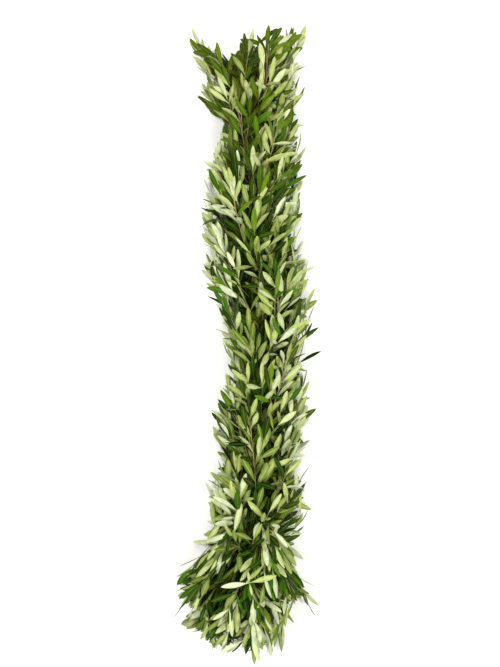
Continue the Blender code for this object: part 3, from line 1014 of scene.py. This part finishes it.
def leaf_mesh(leaf, draw, tone_and_painted_shade, young):
    """The blade laid along one leaf."""
    leaf = turned_up(leaf)
    fold = draw.uniform(*FOLD_RANGE) * (PRESSED_FOLD if leaf.pressed else 1.0)
    twist = math.radians(draw.uniform(-LEAF_TWIST, LEAF_TWIST)) * (0 if leaf.pressed else 1)
    half = leaf.width / 2 * SLIM * half_width
    angle = leaf.bend * share
    turn = twist * (share - TWIST_FROM)
    heading, facing, sideways = map(np.array, (leaf.heading, leaf.facing, leaf.across))
    chord = swung_rows(heading, -facing, angle / 2)
    normal = swung_rows(facing, heading, angle)
    side, normal = swung_rows(sideways, normal, turn), swung_rows(normal, -sideways, turn)
    height = (arch + fold * np.abs(across)) * half - np.where(below, thickness, 0.0)
    points = np.array(leaf.root) + chord * (leaf.length * share)[:, None]
    if leaf.pressed:
        points[:, 2] = np.maximum(points[:, 2], MIDRIB_THICK)
    points += side * (across * half)[:, None] + normal * height[:, None]
    lowest = np.where(below, UNDER_ABOVE_FLOOR, UPPER_ABOVE_FLOOR) - in_frame.z
    points[:, 2] = np.maximum(points[:, 2], lowest)
    points = np.clip(points, low_limit, high_limit)
    mesh = blade.copy()
    mesh.vertices.foreach_set("co", points.ravel())
    for name, value in (("tone_and_painted_shade", tone_and_painted_shade), ("young", young)):
        values = np.full(len(points), value, np.float32)
        mesh.attributes[name].data.foreach_set("value", values)
    return mesh


# The leaf's finishes: waxy dark green above, felted grey-green below, and bark that is brown
# where a stem is bound and green at its tip. Each leaf has its own tone, with painted shade on
# leaves that lie deep in the garland; young ones are yellower.
MIDRIB_EDGES = (0.015, 0.07)
VEINS = 15.0
VEIN_SLANT = 4.0
VEIN_EDGE = 0.28
RIB_SHARE = 0.45
VEIN_SHARE = 0.10
VEIN_HEIGHT = 0.35
GRAIN_HEIGHT = 0.30
NOISE_RANGE = (0.3, 0.7)
PATCH_LIGHT = (0.84, 1.14)
SMOOTHER = 0.06
ROUGHER = 0.08
LEAF_SHINE = 0.10


def ranged(tree, value, low, high, first, last):
    inputs = {0: value, 1: low, 2: high, 3: first, 4: last}
    return new_node(tree, "MapRange", inputs).outputs[0]


def mask_group(name, *masks):
    """A shader group with an output for each mask, and the node that they go to."""
    group = bpy.data.node_groups.new(name, "ShaderNodeTree")
    for mask in masks:
        group.interface.new_socket(mask, in_out="OUTPUT", socket_type="NodeSocketFloat")
    return group, group.nodes.new("NodeGroupOutput").inputs


def attribute(tree, name):
    return new_node(tree, "Attribute", attribute_name=name).outputs["Fac"]


# How near the leaf's surface is to its midrib and side veins
tree, ends = mask_group("leaf_veins", "Midrib", "Veins")
uv = new_node(tree, "UVMap", uv_map="leaf").outputs[0]
parts = new_node(tree, "SeparateXYZ", {0: uv}).outputs
off = counted(tree, "ABSOLUTE", counted(tree, "SUBTRACT", parts[0], 0.5))
wave = counted(tree, "SUBTRACT", counted(tree, "MULTIPLY", parts[1], VEINS),
               counted(tree, "MULTIPLY", off, VEIN_SLANT))
wave = counted(tree, "SINE", counted(tree, "MULTIPLY", wave, math.pi))
wave = counted(tree, "ABSOLUTE", wave)
tree.links.new(ranged(tree, off, *MIDRIB_EDGES, 1.0, 0.0), ends[0])
tree.links.new(ranged(tree, wave, 0.0, VEIN_EDGE, 1.0, 0.0), ends[1])

# Cloudy patches and fine grain, fixed in the leaf
tree, ends = mask_group("leaf_mottle", "Patches", "Grain")
tree.links.new(noise(tree, 75.0, 2.0), ends[0])
tree.links.new(noise(tree, 900.0, 2.0), ends[1])


def leaf_material(name, roughness, veins_rise, tones, young_colour, rib_colour):
    """A leaf's finish, from its darkest tone to its palest. The two end tones come first."""
    material, tree, shader = new_material(name, roughness)
    groups = bpy.data.node_groups
    midrib, veins = new_node(tree, "Group", node_tree=groups["leaf_veins"]).outputs
    patches, grain = new_node(tree, "Group", node_tree=groups["leaf_mottle"]).outputs
    ramp = new_node(tree, "ValToRGB", {0: attribute(tree, "tone_and_painted_shade")})
    elements = ramp.color_ramp.elements
    for i, (stop, colour) in enumerate(tones):
        element = elements[i] if i < 2 else elements.new(stop)
        element.position = stop
        element.color = (*colour, 1.0)
    colour = mixed(tree, attribute(tree, "young"), ramp.outputs[0], young_colour)
    light = ranged(tree, patches, *NOISE_RANGE, *PATCH_LIGHT)
    grey = new_node(tree, "CombineColor", {0: light, 1: light, 2: light}).outputs[0]
    colour = mixed(tree, 1.0, colour, grey, "MULTIPLY")
    for mask, share in ((veins, VEIN_SHARE), (midrib, RIB_SHARE)):
        colour = mixed(tree, counted(tree, "MULTIPLY", mask, share), colour, rib_colour)
    relief = counted(tree, "ADD", counted(tree, "MULTIPLY", veins, VEIN_HEIGHT * veins_rise),
                     counted(tree, "MULTIPLY", grain, GRAIN_HEIGHT))
    surface(tree, shader, colour, relief, 0.35, 0.0005)
    rough = ranged(tree, grain, *NOISE_RANGE, roughness - SMOOTHER, roughness + ROUGHER)
    tree.links.new(rough, shader.inputs["Roughness"])
    shader.inputs["Specular IOR Level"].default_value = LEAF_SHINE
    return material, shader


# The darkest tones of both sides are the colours of the painted shade on leaves deep in the garland
upper_side, shader = leaf_material(
    "olive_leaf_upper_side", roughness=0.34, veins_rise=-1.0,
    tones=((0.0, (0.002, 0.010, 0.0001)), (0.97, (0.095, 0.165, 0.008)),
           (0.45, (0.009, 0.040, 0.0004)), (0.75, (0.036, 0.115, 0.002))),
    young_colour=(0.078, 0.088, 0.002), rib_colour=(0.16, 0.22, 0.05),
)
shader.inputs["Specular Tint"].default_value = (0.75, 1.0, 0.30, 1.0)
under_side, _ = leaf_material(
    "olive_leaf_under_side", roughness=0.72, veins_rise=1.0,
    tones=((0.0, (0.092, 0.148, 0.005)), (0.95, (0.510, 0.565, 0.380)),
           (0.38, (0.322, 0.390, 0.108))),
    young_colour=(0.330, 0.365, 0.110), rib_colour=(0.58, 0.61, 0.33),
)

bark, tree, shader = new_material("olive_twig_bark", 0.78)
flecks = noise(tree, 700.0, 3.0)
woody = mixed(tree, flecks, (0.170, 0.095, 0.040), (0.420, 0.270, 0.135))
green = mixed(tree, flecks, (0.140, 0.170, 0.045), (0.290, 0.310, 0.110))
aged = mixed(tree, attribute(tree, "young"), woody, green)
surface(tree, shader, aged, flecks, 0.5, 0.0006)


# Each spray is put together: its bark, its side twigs' bark and all its leaves. It is one piece,
# because they grew on one twig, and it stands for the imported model's spray of the same number.
BARK_RADIUS = 0.0021
BARK_TIP_RADIUS = 0.0015
STEM_TIP_AGE = 0.6
TWIG_AGES = (0.35, 1.0)
TWIG_LINE_STEPS = 2
YOUNG_FROM = 0.45
YOUNG_OVER = 0.3
YOUNG_MIDDLE = 0.04
YOUNG_VARIES = 0.14
GREENS = ("olive_leaf_pale", "olive_leaf_green", "olive_leaf_deep")


def stem_mesh(line, radius, tip_radius, first_age, last_age):
    """A round stem along a smooth line, browner at its foot."""
    steps = len(line) - 1
    shares = [1 + (tip_radius / radius - 1) * i / steps for i in range(steps + 1)]
    mesh = tube(line, radius, 1, shares)
    ages = mesh.attributes.new("young", "FLOAT", "POINT")
    for vertex, age in zip(mesh.vertices, ages.data):
        nearest = min(range(steps + 1), key=lambda i: (line[i] - vertex.co).length_squared)
        age.value = first_age + (last_age - first_age) * nearest / steps
    for face in mesh.polygons:
        face.material_index = BARK
    return mesh


for number, (spray, points, plain, leaves) in grown.items():
    draw = random.Random(f"leaf looks {number}")
    shift = draw.uniform(-SPRAY_TONE, SPRAY_TONE)
    yellower = YOUNG_TOP * clamped((points[-1].y - YOUNG_FROM) / YOUNG_OVER)
    line, places = flowing(points, LINE_STEPS)
    for point in line:
        point.z = max(point.z, BARK_RADIUS)
    tip_age = 0.0 if number in BARE_STEMS else STEM_TIP_AGE
    meshes = [stem_mesh(line, BARK_RADIUS, BARK_TIP_RADIUS, 0.0, tip_age)]
    for twig in twigs[number]:
        line = flowing(twig, TWIG_LINE_STEPS)[0]
        meshes.append(stem_mesh(line, TWIG_RADIUS, TWIG_TIP_RADIUS, *TWIG_AGES))
    for leaf in leaves:
        young = clamped(draw.gauss(YOUNG_MIDDLE + yellower, YOUNG_VARIES))
        tone_and_painted_shade = clamped(draw.random() + shift + eased(TONE_ALONG, leaf.root.y))
        # Painted shade: a leaf is darker the nearer it lies to the middle of the garland
        tone_and_painted_shade *= INNER_PAINTED_SHADE + (1 - INNER_PAINTED_SHADE) * outness(on_leaf(leaf, MEASURED_AT))
        meshes.append(leaf_mesh(leaf, draw, tone_and_painted_shade, young))
    bpy.data.meshes.remove(plain)
    as_piece(f"olive_spray_{number:02d}", meshes, [upper_side, under_side, bark],
             [f"spray_{number:02d}"], GREENS[number % 3])


# The garland lies on a plain pale floor under soft light, and the camera looks straight down on it.
PIXEL = 0.00286
PICTURE_HEIGHT = 667
LENS = 100.0
SENSOR = 36.0
LOOKS_AT = (-0.0143, 0.0100)
SCALED_AT = 0.10
FLOOR_SIZE = 6.0
FLOOR_BELOW = 0.0004
LIGHT_SPREAD = 24
DAYLIGHT = (1.0, 0.990, 0.945)
ROOM_LIGHT = 0.12

work = bmesh.new()
bmesh.ops.create_grid(work, x_segments=1, y_segments=1, size=FLOOR_SIZE)
bmesh.ops.translate(work, verts=work.verts, vec=(0, 0, -FLOOR_BELOW))
floor_mesh = bpy.data.meshes.new("floor")
work.to_mesh(floor_mesh)
work.free()
floor = new_object("floor", floor_mesh)
paint, tree, shader = new_material("pale_floor", 0.9)
shader.inputs["Base Color"].default_value = (0.86, 0.86, 0.85, 1.0)
floor_mesh.materials.append(paint)

for name, place, strength in (
    ("left_light", (-2.0, 0.8, 2.6), 2.75),
    ("right_light", (2.0, -0.6, 2.8), 2.55),
    ("foot_end_light", (0.2, -2.0, 1.7), 1.2),
    ("top_end_light", (-0.2, 2.0, 1.9), 0.9),
    ("overhead_light", (0.0, 0.0, 3.0), 0.5),
):
    lamp = bpy.data.lights.new(name, "SUN")
    lamp.angle = math.radians(LIGHT_SPREAD)
    lamp.energy = strength
    lamp.color = DAYLIGHT
    light = new_object(name, lamp)
    light.location = place
    light.rotation_euler = Vector(place).to_track_quat("Z", "Y").to_euler()

world = bpy.data.worlds.new("soft_daylight")
world.use_nodes = True
tree = world.node_tree
background = tree.nodes["Background"].inputs
seen = new_node(tree, "LightPath").outputs["Is Camera Ray"]
tree.links.new(ranged(tree, seen, 0.0, 1.0, ROOM_LIGHT, 1.0), background["Strength"])
background["Color"].default_value = (1.0, 1.0, 1.0, 1.0)
bpy.context.scene.world = world
bpy.context.scene.view_settings.view_transform = "Standard"

lens = bpy.data.cameras.new("overhead_camera")
lens.lens = LENS
lens.sensor_width = SENSOR
camera = new_object("overhead_camera", lens)
distance = PICTURE_HEIGHT * PIXEL / 2 / (SENSOR / 2 / LENS)
camera.location = Vector((*LOOKS_AT, SCALED_AT + distance)) + Vector((in_frame.x, in_frame.y, 0))
bpy.context.scene.camera = camera
